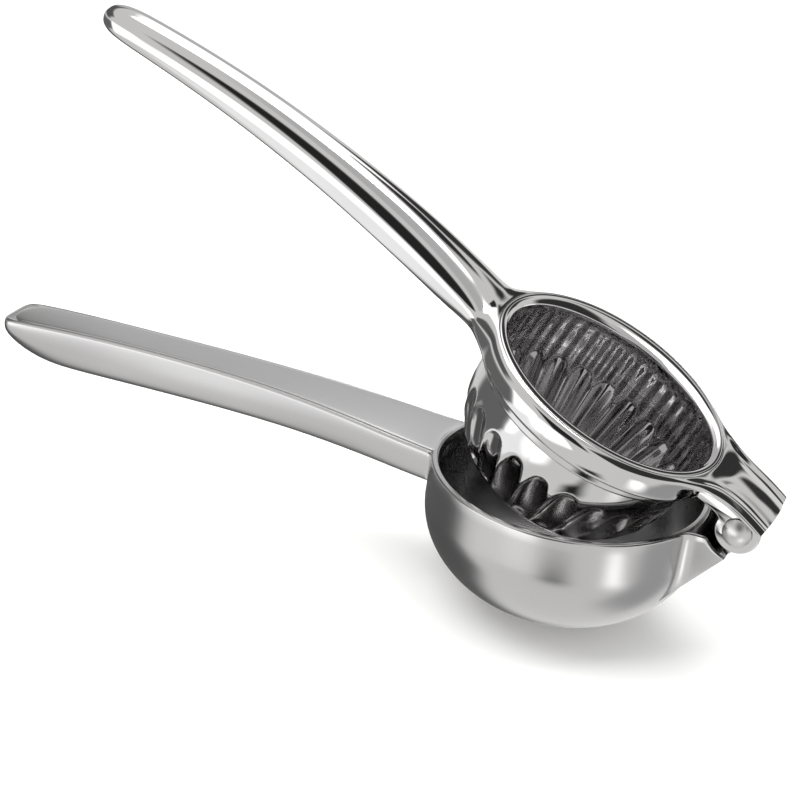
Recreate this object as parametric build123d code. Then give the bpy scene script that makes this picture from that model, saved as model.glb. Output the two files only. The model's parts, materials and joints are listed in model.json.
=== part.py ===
from build123d import *
import math
import os

os.makedirs("parts", exist_ok=True)

# Hinged citrus press, all steel. Millimetres and degrees.
# X runs from the handle ends to the hinge, Y lies along the hinge pin, Z is the bowl's axis.
# The origin is the centre of the flat under the bowl. Both arms are drawn closed,
# then the upper one is swung open about the pin.

open_angle = 23.4

# bowl
bowl_radius = 39.0
bowl_height = 39.7
bowl_side = 11.2
base_radius = 10.0
bowl_wall = 1.6
rim_lip = 2.2
rim_lip_height = 3.4
rim_round = 0.9
drain_radius = 1.5
drain_rings = ((6.0, 6), (12.0, 12))

# hinge: the pin's place beyond the bowl's wall and over its rim, then the pieces on the pin
hinge_reach = 10.9
hinge_rise = 4.3
pin_radius = 2.5
pin_clearance = 0.05
lug_inner_y = 10.0
lug_sheet = 2.5
lug_end_radius = 6.2
lug_neck = 0.8
knuckle_radius = 4.2
knuckle_side_gap = 0.3
dome_radius = 4.0
dome_height = 2.4
tail_radius = 1.6
tail_length = 1.2

# bracket that carries the knuckle: two cheeks and a sloping web, open on top
bracket_sheet = 1.8
bracket_slope = math.radians(50.4)
bracket_top_drop = 0.2
lug_swing_gap = 2.7
web_length = 32.5

# ring that carries the press cup, placed over the bowl's rim with the press closed
ring_rise = 10.8
ring_seat_gap = 3.0
ring_sheet = 1.5
ring_round = 2.4
ring_foot_round = 1.0
ring_step = 3.3
skirt_gap = 2.7
skirt_sheet = 1.3
skirt_reach = 0.3
opening_lip_x = 0.3
opening_lip_y = 3.3

# press cup, its depths measured below the bowl's rim with the press closed
cup_fit = 0.1
cup_wall = 1.2
cup_depth = 30.4
cup_bend_depth = 3.0
cup_side_power = 3.2
cup_floor_power = 2.3
flute_count = 24
flute_first = 3.0
flute_radius = 3.1
flute_top_depth = 10.6
flute_top_out = 1.6
flute_bottom_depth = 24.2
flute_bottom_in = 5.1

# cover over the hinge: x from the pin, height from the ring's top, y outside the straight edge
cover_line = ((-22.9, 0.0), (-15.9, 0.4), (-9.9, 0.9), (-5.9, 0.7), (-1.9, 0.2), (2.1, -0.5), (6.7, -1.5))
cover_wing = ((-22.5, 11.8), (-18.9, 6.8), (-15.3, 3.3), (-11.3, 1.1), (-6.9, 0.0))
cover_end = 6.1
cover_end_bulge = 0.7
cover_edge = 2.4
cover_middle = 1.4
cover_overhang = 1.1

# handles: share of the length, half width, top and bottom
handle_sheet = 1.3
handle_plate = 1.2
lower_root_overlap = 3.0
upper_root_overlap = 5.0
lower_length = 139.4
lower_fullness = 2.5
# heights from the bowl's rim
lower_stations = (
    (0.036, 12.3, 0.3, -12.8),
    (0.121, 11.6, 1.1, -12.0),
    (0.234, 10.1, 1.9, -11.4),
    (0.362, 8.8, 2.2, -11.5),
    (0.518, 8.1, 1.9, -12.4),
    (0.682, 7.8, 0.9, -13.8),
    (0.803, 8.1, -0.1, -14.8),
    (0.874, 8.4, -0.9, -15.1),
    (0.923, 8.5, -1.6, -14.0),
    (0.959, 8.1, -2.2, -11.5),
    (0.984, 7.0, -2.8, -8.8),
    (1.0, 4.6, -3.9, -6.6),
)
lower_root = (13.0, 0.0, -13.0)
upper_length = 136.5
upper_waist = 0.44
upper_foot_angle = math.radians(62)
# heights from the ring's top
upper_stations = (
    (0.0, 13.6, 0.6, -7.7),
    (0.015, 12.2, 0.9, -7.8),
    (0.033, 11.4, 1.5, -7.8),
    (0.091, 10.3, 3.2, -7.8),
    (0.163, 9.5, 4.8, -6.9),
    (0.272, 8.6, 6.2, -5.7),
    (0.395, 7.8, 6.9, -4.6),
    (0.525, 7.1, 6.9, -4.2),
    (0.655, 6.7, 6.1, -4.3),
    (0.778, 6.5, 4.5, -5.1),
    (0.871, 6.4, 2.8, -6.0),
    (0.929, 6.2, 1.7, -6.8),
    (0.965, 5.4, 0.6, -7.0),
    (0.988, 3.8, -0.9, -6.3),
    (1.0, 1.9, -2.5, -5.2),
)
upper_root = (18.2, 0.1, -7.2)

# places that follow from the sizes above
rim_z = bowl_height
shoulder_z = rim_z - bowl_side
bowl_curve = shoulder_z / math.sqrt(1 - (base_radius / bowl_radius) ** 2)
hinge_x = bowl_radius + hinge_reach
hinge_z = rim_z + hinge_rise
lug_outer_y = lug_inner_y + lug_sheet
knuckle_half_width = lug_inner_y - knuckle_side_gap
cheek_inner_y = lug_outer_y - bracket_sheet
cheek_arc_radius = lug_end_radius + lug_swing_gap
skirt_radius = bowl_radius - rim_lip - skirt_gap
skirt_inner_radius = skirt_radius - skirt_sheet
cup_radius = skirt_inner_radius - cup_fit
ring_radius = skirt_radius + ring_step
ring_top = rim_z + ring_rise
ring_foot = rim_z + ring_seat_gap
cover_half_width = lug_outer_y + cover_overhang
# cutting bodies reach this far past what they cut
past = 30.0


def bowl_body(inset, top_z):
    """Solid of the bowl's shape up to top_z, inset from the outside."""
    radius, curve = bowl_radius - inset, bowl_curve - inset
    sweep = math.degrees(math.asin((shoulder_z - inset) / curve))
    with BuildSketch(Plane.XZ) as outline:
        with BuildLine():
            wall = EllipticalCenterArc((0, shoulder_z), radius, curve, -sweep, arc_size=sweep)
            Polyline((0, top_z), (0, inset), wall @ 0)
            Polyline(wall @ 1, (radius, top_z), (0, top_z))
        make_face()
    return revolve(outline.sketch, Axis.Z)


def ring_solid(points, rounds):
    """Turns a closed outline of (radius, z), with its corner rounds, about the Z axis."""
    with BuildSketch(Plane.XZ) as outline:
        with BuildLine():
            FilletPolyline(*points, radius=rounds, close=True)
        make_face()
    return revolve(outline.sketch, Axis.Z)


def pipe_y(radius, y0, y1):
    """Round bar along Y at the hinge."""
    bar = Cylinder(radius, y1 - y0)
    return Pos(hinge_x, (y0 + y1) / 2, hinge_z) * Rot(90, 0, 0) * bar


def slab_xz(points, y0, y1):
    """Flat piece with an outline in XZ, between two values of Y."""
    face = make_face(Polyline(*[(x, 0, z) for x, z in points], close=True))
    return extrude(Pos(0, y0, 0) * face, y1 - y0, dir=(0, 1, 0))


def closed_section(curve_points, raise_by, **ends):
    """Curved side closed by a flat lid, which may stand off by a straight piece."""
    curve = Spline(*curve_points, **ends)
    (x, y0, z), (_, y1, _) = curve_points[0], curve_points[-1]
    if not raise_by:
        return make_face(Wire([curve, Line(curve_points[-1], curve_points[0])]))
    lid = Polyline(curve_points[-1], (x, y1, z + raise_by), (x, y0, z + raise_by), curve_points[0])
    return make_face(Wire([curve, *lid.edges()]))


def trough_section(x, half_width, top_z, bottom_z, raise_by=0):
    """Flat top with a deep rounded belly."""
    side = []
    for k in range(13):
        a = math.pi * k / 12
        y = half_width * math.copysign(abs(math.cos(a)) ** (2 / lower_fullness), math.cos(a))
        side.append((x, y, top_z - (top_z - bottom_z) * math.sin(a) ** (2 / lower_fullness)))
    return closed_section(side, raise_by, tangents=[(0, 0, -1), (0, 0, 1)])


def arch_section(x, half_width, top_z, bottom_z, raise_by=0):
    """Rounded crown over a narrower flat underside."""
    waist_z = bottom_z + upper_waist * (top_z - bottom_z)
    belly = (waist_z - bottom_z) / math.sin(upper_foot_angle)
    side = []
    for k in range(15):
        a = -upper_foot_angle + (math.pi + 2 * upper_foot_angle) * k / 14
        height = top_z - waist_z if math.sin(a) >= 0 else belly
        side.append((x, half_width * math.cos(a), waist_z + height * math.sin(a)))
    return closed_section(side, raise_by)


def edge_slab(stations, column, below, above):
    """Band that follows the top (column 2) or bottom (column 3) line of a handle."""
    faces = []
    for station in stations:
        x, half_width, z = station[0], station[1] + past, station[column]
        corners = [(-half_width, z - below), (half_width, z - below)]
        corners += [(half_width, z + above), (-half_width, z + above)]
        faces.append(make_face(Polyline(*[(x, y, z) for y, z in corners], close=True)))
    return loft(faces)


def handle(stations, section, inner, column, raise_by, below, above):
    """Pressed shell of a handle and the flat plate that closes it."""
    outer = loft([section(*s) for s in stations])
    room = loft([section(*s, raise_by) for s in inner])
    closing = (outer & room) & edge_slab(stations, column, below, above)
    return outer - room, closing


def swing(piece):
    """Moves a piece of the upper arm from closed to the open rest position."""
    return piece.rotate(Axis((hinge_x, 0, hinge_z), (0, 1, 0)), open_angle)


def save(name, piece):
    solids = piece.solids()
    piece = solids[0] if len(solids) == 1 else Compound(solids)
    print(name, "solids", len(solids), "volume", round(piece.volume, 1))
    export_step(piece, f"parts/{name}.step")


# ---- lower arm: bowl ---------------------------------------------------------

bowl_full = bowl_body(0, rim_z)
bowl = bowl_full - bowl_body(bowl_wall, rim_z + past)
lip_inner = bowl_radius - rim_lip
lip_outer = bowl_radius - bowl_wall / 2
bowl += ring_solid(
    [
        (lip_inner, rim_z - rim_lip_height),
        (bowl_radius - bowl_wall, rim_z - rim_lip_height - 2 * (rim_lip - bowl_wall)),
        (lip_outer, rim_z - rim_lip_height - 2 * (rim_lip - bowl_wall)),
        (lip_outer, rim_z),
        (lip_inner, rim_z),
    ],
    [0, 0, 0, 0, 0],
)
bowl = fillet(bowl.edges().filter_by(lambda e: abs(e.center().Z - rim_z) < 0.01), rim_round)
for ring_r, count in drain_rings:
    for k in range(count):
        a = 2 * math.pi * k / count
        bowl -= Pos(ring_r * math.cos(a), ring_r * math.sin(a), 0) * Cylinder(drain_radius, past / 2)
save("bowl", bowl)

# what is fixed outside the bowl's wall stops at this shape
bowl_block = bowl_full + Pos(0, 0, rim_z) * Cylinder(bowl_radius, past)

# ---- lower arm: bracket and knuckle ------------------------------------------

along = (math.cos(bracket_slope), math.sin(bracket_slope))
outward = (math.sin(bracket_slope), -math.cos(bracket_slope))


def web_point(s, distance):
    """Point on the web: s up the slope from the pin, distance out from the pin."""
    return (
        hinge_x + outward[0] * distance + along[0] * s,
        hinge_z + outward[1] * distance + along[1] * s,
    )


web_inner = knuckle_radius - bracket_sheet
web_end = -math.sqrt(cheek_arc_radius**2 - knuckle_radius**2)
cheek_top = rim_z - bracket_top_drop
arc_start = math.pi + math.asin((hinge_z - cheek_top) / cheek_arc_radius)
corner = web_point(web_end, knuckle_radius)
arc_stop = 2 * math.pi + math.atan2(corner[1] - hinge_z, corner[0] - hinge_x)
arc_turns = [arc_start + (arc_stop - arc_start) * k / 10 for k in range(11)]
cheek_arc = [
    (hinge_x + cheek_arc_radius * math.cos(a), hinge_z + cheek_arc_radius * math.sin(a))
    for a in arc_turns
]
cheek = [(bowl_radius / 2, cheek_top), *cheek_arc, web_point(-web_length, knuckle_radius)]
web = [
    web_point(-web_length, web_inner),
    web_point(-web_length, knuckle_radius),
    web_point(web_end, knuckle_radius),
    web_point(web_end, web_inner),
]
strap = [web[3], web[2], web_point(0, knuckle_radius), web_point(0, web_inner)]
bracket = (
    slab_xz(cheek, -lug_outer_y, -cheek_inner_y)
    + slab_xz(cheek, cheek_inner_y, lug_outer_y)
    + slab_xz(web, -cheek_inner_y, cheek_inner_y)
)
save("hinge_bracket", bracket - bowl_block)

knuckle = pipe_y(knuckle_radius, -knuckle_half_width, knuckle_half_width)
knuckle += slab_xz(strap, -knuckle_half_width, knuckle_half_width)
knuckle -= pipe_y(pin_radius + pin_clearance, -lug_outer_y, lug_outer_y)
save("hinge_knuckle", knuckle)

# ---- lower arm: handle -------------------------------------------------------

lower = [(lower_root_overlap - bowl_radius, lower_root[0], rim_z + lower_root[1], rim_z + lower_root[2])]
lower += [(-bowl_radius - f * lower_length, w, rim_z + t, rim_z + b) for f, w, t, b in lower_stations]
lower_inner = [(x, w - handle_sheet, t, b + handle_sheet) for x, w, t, b in lower[1:-1]]
lower_shell, lower_plate = handle(
    lower, trough_section, lower_inner, 2, handle_sheet, handle_plate, handle_sheet
)
save("lower_handle_shell", lower_shell - bowl_block)
save("lower_handle_plate", lower_plate - bowl_block)

# ---- upper arm, drawn closed: ring -------------------------------------------

opening_x = cup_radius - opening_lip_x
opening_y = cup_radius - opening_lip_y
ring_bore = opening_y - ring_sheet
press_ring = ring_solid(
    [
        (ring_bore, ring_top),
        (ring_radius, ring_top),
        (ring_radius, ring_foot),
        (skirt_radius, ring_foot),
        (skirt_radius, rim_z - skirt_reach),
        (skirt_inner_radius, rim_z - skirt_reach),
        (skirt_inner_radius, ring_foot + ring_sheet),
        (ring_radius - ring_sheet, ring_foot + ring_sheet),
        (ring_radius - ring_sheet, ring_top - ring_sheet),
        (ring_bore, ring_top - ring_sheet),
    ],
    [0, ring_round, ring_foot_round, 0, 0, 0, 0, 0, ring_round - ring_sheet, 0],
)
press_ring -= Pos(0, 0, ring_top) * extrude(Ellipse(opening_x, opening_y), 2 * ring_sheet, both=True)
save("press_ring", swing(press_ring))

# what is fixed outside the ring stops at this shape
ring_block = Pos(0, 0, ring_top) * Cylinder(ring_radius, 2 * past)

# ---- upper arm, drawn closed: fluted cup -------------------------------------

cup_top = ring_top - ring_sheet


def cup_body(inset, top_z):
    """Solid of the cup's shape up to top_z, inset from the outside."""
    bend_z = rim_z - cup_bend_depth
    radius, drop = cup_radius - inset, cup_depth - cup_bend_depth - inset
    turns = [math.pi / 2 * k / 10 for k in range(11)]
    wall = [
        (
            radius * math.cos(a) ** (2 / cup_side_power),
            bend_z - drop * math.sin(a) ** (2 / cup_floor_power),
        )
        for a in turns[:-1]
    ]
    floor = (0, bend_z - drop)
    with BuildSketch(Plane.XZ) as outline:
        with BuildLine():
            Polyline(floor, (0, top_z), (radius, top_z), wall[0])
            Spline(*wall, floor, tangents=[(0, -1), (-1, 0)])
        make_face()
    return revolve(outline.sketch, Axis.Z)


def flute(radius, turn):
    """One long groove with round ends, leaning with the cup's wall."""
    high = (cup_radius + flute_top_out, rim_z - flute_top_depth)
    low = (cup_radius - flute_bottom_in, rim_z - flute_bottom_depth)
    length = math.dist(high, low)
    lean = math.degrees(math.atan2(high[0] - low[0], high[1] - low[1]))
    end = Sphere(radius)
    bar = Cylinder(radius, length) + Pos(0, 0, length / 2) * end + Pos(0, 0, -length / 2) * end
    place = Pos((high[0] + low[0]) / 2, 0, (high[1] + low[1]) / 2) * Rot(0, lean, 0)
    return Rot(0, 0, turn) * (place * bar)


cup_outer = cup_body(0, cup_top)
cup_room = cup_body(cup_wall, cup_top + past)
for k in range(flute_count):
    turn = flute_first + 360 * k / flute_count
    cup_outer -= flute(flute_radius, turn)
    cup_room -= flute(flute_radius + cup_wall, turn)
save("press_cup", swing(cup_outer - cup_room))

# ---- upper arm, drawn closed: hinge cover and lugs ---------------------------

cover_top = [(hinge_x + x, ring_top + z) for x, z in cover_line]
wing = [(hinge_x + x, cover_half_width + y) for x, y in cover_wing]


def along_cover(drop, level, half_width):
    """Everything between the cover's top line, lowered by drop, and a level."""
    line = [(x, z - drop) for x, z in cover_top]
    with BuildSketch(Plane.XZ) as side:
        with BuildLine():
            Spline(*line)
            Polyline(line[-1], (line[-1][0], level), (line[0][0], level), line[0])
        make_face()
    return extrude(side.sketch, half_width, both=True)


with BuildSketch() as cover_plan:
    with BuildLine():
        end_x = hinge_x + cover_end
        corner_x = end_x - cover_end_bulge
        flare = Spline(*wing, tangents=[(1, -1), (1, 0)])
        Line(flare @ 0, (wing[0][0], 0))
        Line(flare @ 1, (corner_x, cover_half_width))
        ThreePointArc(
            (corner_x, cover_half_width), (end_x, 0), (corner_x, -cover_half_width)
        )
        Line((corner_x, -cover_half_width), (wing[-1][0], -cover_half_width))
        Spline(*[(x, -y) for x, y in reversed(wing)], tangents=[(-1, 0), (-1, -1)])
        Line((wing[0][0], 0), (wing[0][0], -wing[0][1]))
    make_face()
cover = along_cover(0, rim_z, past) - along_cover(cover_edge, rim_z, past)
cover &= extrude(Pos(0, 0, rim_z) * cover_plan.sketch, past)
cover -= along_cover(cover_middle, rim_z, lug_inner_y)
save("hinge_cover", swing(cover - ring_block))

lug_foot = hinge_z + lug_neck
lug_front = hinge_x - cheek_arc_radius
lug_outline = [
    (lug_front - lug_end_radius, ring_top + past),
    (lug_front - lug_end_radius, lug_foot),
    (lug_front, lug_foot),
    (hinge_x - lug_end_radius, hinge_z),
    (hinge_x, hinge_z),
    (hinge_x + lug_end_radius * 0.75, hinge_z + pin_radius),
    (hinge_x + lug_end_radius * 0.75, ring_top + past),
]
over_lugs = along_cover(cover_edge, ring_top + 2 * past, past)
for name, y0 in (("hinge_lug_near", -lug_outer_y), ("hinge_lug_far", lug_inner_y)):
    lug = slab_xz(lug_outline, y0, y0 + lug_sheet) + pipe_y(lug_end_radius, y0, y0 + lug_sheet)
    lug -= pipe_y(pin_radius, y0 - lug_sheet, y0 + 2 * lug_sheet)
    save(name, swing(lug - over_lugs - ring_block))

# ---- upper arm, drawn closed: rivet ------------------------------------------

dome_ball = (dome_radius**2 + dome_height**2) / (2 * dome_height)
dome_y = lug_outer_y + dome_height
ball = Pos(hinge_x, 0, hinge_z) * Sphere(dome_ball)
near_dome = Pos(0, dome_ball - dome_y, 0) * ball & pipe_y(dome_ball, -dome_y, -lug_outer_y)
far_dome = Pos(0, dome_y - dome_ball, 0) * ball & pipe_y(dome_ball, lug_outer_y, dome_y)
tail = pipe_y(tail_radius, 0, lug_outer_y + tail_length)
rivet = near_dome + pipe_y(pin_radius, -lug_outer_y, lug_outer_y) + tail
save("hinge_rivet", swing(rivet))
save("rivet_cap", swing(far_dome - tail))

# ---- upper arm, drawn closed: handle -----------------------------------------

upper = [(upper_root_overlap - ring_radius, upper_root[0], ring_top + upper_root[1], ring_top + upper_root[2])]
upper += [(-ring_radius - f * upper_length, w, ring_top + t, ring_top + b) for f, w, t, b in upper_stations]
upper_inner = [(x, w - handle_sheet, t - handle_sheet, b) for x, w, t, b in upper[3:-3]]
upper_shell, upper_plate = handle(
    upper, arch_section, upper_inner, 3, -handle_sheet, handle_sheet, handle_plate
)
save("upper_handle_shell", swing(upper_shell - ring_block))
save("upper_handle_plate", swing(upper_plate - ring_block))
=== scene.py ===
import json
import math

import bpy
import bmesh
from mathutils import Euler, Matrix, Vector


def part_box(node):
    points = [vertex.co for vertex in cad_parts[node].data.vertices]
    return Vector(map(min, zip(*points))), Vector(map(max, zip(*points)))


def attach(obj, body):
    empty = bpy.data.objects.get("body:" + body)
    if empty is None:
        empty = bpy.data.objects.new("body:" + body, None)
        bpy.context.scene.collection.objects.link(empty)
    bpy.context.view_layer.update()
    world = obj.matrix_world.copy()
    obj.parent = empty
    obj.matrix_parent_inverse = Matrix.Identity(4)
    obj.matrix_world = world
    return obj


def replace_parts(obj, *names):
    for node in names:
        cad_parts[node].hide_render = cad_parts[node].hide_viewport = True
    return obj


# Hinged citrus press in stainless steel. The frame is in metres; every size here is in millimetres.
# The upper arm is drawn closed, like the pressings that make it, and then swung open about the pin.

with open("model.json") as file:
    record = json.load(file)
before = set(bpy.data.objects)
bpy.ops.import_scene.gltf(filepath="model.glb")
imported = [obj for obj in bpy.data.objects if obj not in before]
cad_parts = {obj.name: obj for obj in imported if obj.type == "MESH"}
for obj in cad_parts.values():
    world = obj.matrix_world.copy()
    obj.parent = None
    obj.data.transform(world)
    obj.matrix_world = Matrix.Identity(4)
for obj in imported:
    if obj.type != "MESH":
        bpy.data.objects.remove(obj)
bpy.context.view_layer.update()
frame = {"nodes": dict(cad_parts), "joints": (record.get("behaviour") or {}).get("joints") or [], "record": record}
mm = 0.001
print("frame loaded:", len(frame["nodes"]), "nodes")

hingeJoint = frame["joints"][0]
pinX, pinY, pinZ = [value / mm for value in hingeJoint["pos_m"]]
openAngle = -math.radians(hingeJoint["range_deg"][0])
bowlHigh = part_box("bowl")[1] / mm
bowlRadius = bowlHigh.y
rimZ = bowlHigh.z
swingOpen = (
    Matrix.Translation(Vector((pinX, pinY, pinZ)) * mm)
    @ Matrix.Rotation(openAngle, 4, "Y")
    @ Matrix.Translation(Vector((-pinX, -pinY, -pinZ)) * mm)
)
# each arm has one finish, so a piece's slot and steel follow from its body
bodySlots = {"lower_arm": "satin_steel", "upper_arm": "polished_steel"}
# points of a mesh closer than the first are one point; slivers narrower than the second are dropped
pointGap = 0.002
sliverWidth = 0.005


def mix(a, b, share):
    return a + (b - a) * share


def smoothStep(value, low, high):
    share = min(max((value - low) / (high - low), 0), 1)
    return share * share * (3 - 2 * share)


def polar(radius, degrees, z):
    return (radius * math.cos(math.radians(degrees)), radius * math.sin(math.radians(degrees)), z)


def gridFaces(rows, columns, closed=True, first=0):
    # quads between rows of equal length, as vertex numbers
    faces = []
    for row in range(rows - 1):
        for column in range(columns if closed else columns - 1):
            after = (column + 1) % columns
            a = first + row * columns
            faces.append((a + column, a + after, a + columns + after, a + columns + column))
    return faces


def addCentre(points, faces, start, columns, centre):
    # a new point that closes the ring of points starting there
    points.append(centre)
    last = len(points) - 1
    faces += [(start + k, start + (k + 1) % columns, last) for k in range(columns)]


def closedLoft(loops):
    points = [point for loop in loops for point in loop]
    count = len(loops[0])
    faces = gridFaces(len(loops), count)
    faces.append(tuple(range(count)))
    faces.append(tuple(len(points) - 1 - k for k in range(count)))
    return points, faces


def arcPoints(centre, radius, start, stop, steps):
    turns = [math.radians(mix(start, stop, k / steps)) for k in range(steps + 1)]
    return [(centre[0] + radius * math.cos(a), centre[1] + radius * math.sin(a)) for a in turns]


def circlePoints(centre, radius, sides, start=0.0):
    return arcPoints(centre, radius, start, start + 360 - 360 / sides, sides - 1)


def addObject(name, data):
    item = bpy.data.objects.new(name, data)
    bpy.context.scene.collection.objects.link(item)
    return item


def evaluatedMesh(item):
    bpy.context.view_layer.update()
    return bpy.data.meshes.new_from_object(item.evaluated_get(bpy.context.evaluated_depsgraph_get()))


def makePiece(name, points, faces, body, level=0, creases=None, sharpAngle=None, material=None):
    # level is how often the cage is subdivided; sharpAngle keeps the edges sharper than it
    slotName = bodySlots[body]
    mesh = bpy.data.meshes.new(name)
    mesh.from_pydata([Vector(point) * mm for point in points], [], faces)
    work = bmesh.new()
    work.from_mesh(mesh)
    bmesh.ops.remove_doubles(work, verts=work.verts, dist=pointGap * mm)
    bmesh.ops.recalc_face_normals(work, faces=work.faces)
    if creases:
        layer = work.edges.layers.float.new("crease_edge")
        for edge in work.edges:
            edge[layer] = creases(*[vertex.co / mm for vertex in edge.verts])
    if body == "upper_arm":
        work.transform(swingOpen)
    for face in work.faces:
        face.smooth = True
    work.to_mesh(mesh)
    work.free()
    if sharpAngle:
        mesh.set_sharp_from_angle(angle=math.radians(sharpAngle))
    piece = addObject(name, mesh)
    mesh.materials.append(material or slotSteels[slotName])
    if level:
        smoothing = piece.modifiers.new("rounding", "SUBSURF")
        smoothing.levels = level
        smoothing.render_levels = level
    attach(piece, body)
    return piece


def linearColour(hexText):
    # sRGB hex to linear RGBA
    channels = []
    for start in (1, 3, 5):
        value = int(hexText[start:start + 2], 16) / 255
        channels.append(value / 12.92 if value <= 0.04045 else ((value + 0.055) / 1.055) ** 2.4)
    return (*channels, 1.0)


def addNode(tree, kind, settings=None, links=None):
    node = tree.nodes.new(kind)
    for key, value in (settings or {}).items():
        if isinstance(key, int) or key in node.inputs:
            node.inputs[key].default_value = value
        else:
            setattr(node, key, value)
    for key, source in (links or {}).items():
        tree.links.new(source, node.inputs[key])
    return node


# Sizes are in millimetres. grainLength is how long the polishing lines are, and grainStretch how many
# times narrower they are in each direction. Real lines are finer than a pixel, so these are coarser.
steelLooks = {
    # buffed to a mirror: sharp reflections, faint hand-polish waviness, hairline wipe marks
    "mirrorStainless": dict(
        colour="#C8C7C7", shade="#BFBEBE", roughLow=0.04, roughHigh=0.07, smudgeSize=18.0,
        waveSize=16.0, waveDepth=0.012, grainLength=3.5, grainDepth=0.0002, grainStretch=(1, 12, 12),
    ),
    # inside of the cup: its darker colour is painted shade for the cup's hollow; it is also a little duller, out
    # of the buffing wheel's reach
    "insideStainlessPaintedShade": dict(
        colour="#ABA9AA", shade="#9B999A", roughLow=0.09, roughHigh=0.13, smudgeSize=14.0,
        waveSize=12.0, waveDepth=0.004,
    ),
    # turned and lightly brushed: reflections run together into one soft gradient
    "turnedStainless": dict(
        colour="#CBCACA", shade="#C0BFBF", roughLow=0.32, roughHigh=0.38, smudgeSize=6.0,
        waveSize=9.0, waveDepth=0.002, grainLength=2.0, grainDepth=0.0002, grainStretch=(1, 1, 1),
    ),
    # fine satin: blurred reflections, brushed along the length
    "satinStainless": dict(
        colour="#C6C5C5", shade="#B9B8B8", roughLow=0.22, roughHigh=0.26, smudgeSize=30.0,
        waveSize=22.0, waveDepth=0.01, grainLength=4.5, grainDepth=0.0004, grainStretch=(1, 10, 10),
    ),
}
# most of a noise texture's values lie between these two
noiseLow, noiseHigh = 0.3, 0.75


def makeSteel(name, look):
    material = bpy.data.materials.new(name)
    material.use_nodes = True
    tree = material.node_tree
    shader = tree.nodes["Principled BSDF"]
    shader.inputs["Metallic"].default_value = 1.0
    place = addNode(tree, "ShaderNodeTexCoord")
    wave = addNode(
        tree, "ShaderNodeTexNoise", {"Scale": 1 / (look["waveSize"] * mm), "Detail": 1.0},
        {"Vector": place.outputs["Object"]},
    )
    smudge = addNode(
        tree, "ShaderNodeTexNoise",
        {"Scale": 1 / (look["smudgeSize"] * mm), "Detail": 1.5, "Roughness": 0.4},
        {"Vector": place.outputs["Object"]},
    )
    roughness = addNode(
        tree, "ShaderNodeMapRange",
        {
            "From Min": noiseLow, "From Max": noiseHigh,
            "To Min": look["roughLow"], "To Max": look["roughHigh"],
        },
        {"Value": smudge.outputs["Fac"]},
    )
    colour = addNode(
        tree, "ShaderNodeMix",
        {"data_type": "RGBA", 6: linearColour(look["colour"]), 7: linearColour(look["shade"])},
        {0: smudge.outputs["Fac"]},
    )
    bump = addNode(
        tree, "ShaderNodeBump", {"Strength": 1.0, "Distance": look["waveDepth"] * mm},
        {"Height": wave.outputs["Fac"]},
    )
    if "grainLength" in look:
        grainMap = addNode(
            tree, "ShaderNodeMapping", {"Scale": look["grainStretch"]}, {"Vector": place.outputs["Object"]}
        )
        grain = addNode(
            tree, "ShaderNodeTexNoise", {"Scale": 1 / (look["grainLength"] * mm), "Detail": 4.0},
            {"Vector": grainMap.outputs["Vector"]},
        )
        bump = addNode(
            tree, "ShaderNodeBump", {"Strength": 1.0, "Distance": look["grainDepth"] * mm},
            {"Height": grain.outputs["Fac"], "Normal": bump.outputs["Normal"]},
        )
    tree.links.new(colour.outputs[2], shader.inputs["Base Color"])
    tree.links.new(roughness.outputs["Result"], shader.inputs["Roughness"])
    tree.links.new(bump.outputs["Normal"], shader.inputs["Normal"])
    return material


steels = {name: makeSteel(name, look) for name, look in steelLooks.items()}
slotSteels = {"satin_steel": steels["satinStainless"], "polished_steel": steels["mirrorStainless"]}
for row in frame["record"]["materials"]:
    print("slot", row["slot"], "is", slotSteels[row["slot"]].name)
for body, nodes in frame["record"]["behaviour"]["bodies"].items():
    for node in nodes:
        mesh = frame["nodes"][node].data
        mesh.materials.clear()
        mesh.materials.append(slotSteels[bodySlots[body]])
print("materials made")


# The upper arm is one pressing, from the handle's tip round the ring to the hinge cover.
# ringRise is the ring's top over the bowl's rim, press closed. The neck and the cover leave the ring over
# so many degrees to each side of the middle and so many rows of its outline down.
armSizes = dict(
    ringRise=10.8, neckSpan=30, coverSpan=40, stepDegrees=5, neckRows=6, coverRows=3,
    waist=0.44, footAngle=28, shoulderAngle=40, sideAngles=(152, 166, 180, 190, 199),
    plateRecess=0.9, seamWidth=0.3, plateFade=(42, 45), plateEnd=(162, 166), plateSpan=(43, 163),
    plateSheet=0.85, coverSheet=2.2, flatEdge=(0.8, 1.3), coverEdge=(1.9, 2.25),
)
# how sharp the creases are; how near to the ring's edge and how far under its top a crease runs; from
# which x on it is the neck's; and how near to its end the cover counts as cut off
armCreases = dict(strength=0.75, nearEdge=0.02, underTop=0.5, neckFrom=-30.0, endSlack=0.01)
ringTop = rimZ + armSizes["ringRise"]

# handle sections from the ring to the tip: distance from the ring's axis, half width, top, bottom
handleSections = (
    (37.7, 13.3, 0.25, -7.75), (39.6, 12.1, 0.9, -7.8), (41.9, 11.4, 1.5, -7.8), (45.5, 10.8, 2.4, -7.8),
    (49.8, 10.3, 3.2, -7.75), (59.7, 9.5, 4.8, -6.9), (74.5, 8.6, 6.2, -5.7), (91.3, 7.8, 6.9, -4.6),
    (109.1, 7.1, 6.9, -4.2), (126.8, 6.7, 6.1, -4.3), (143.6, 6.5, 4.5, -5.1), (156.3, 6.4, 2.8, -6.0),
    (164.2, 6.2, 1.6, -6.7), (169.1, 5.5, 0.5, -6.9), (172.2, 4.0, -0.9, -6.4), (173.6, 2.2, -2.3, -5.3),
)
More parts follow.
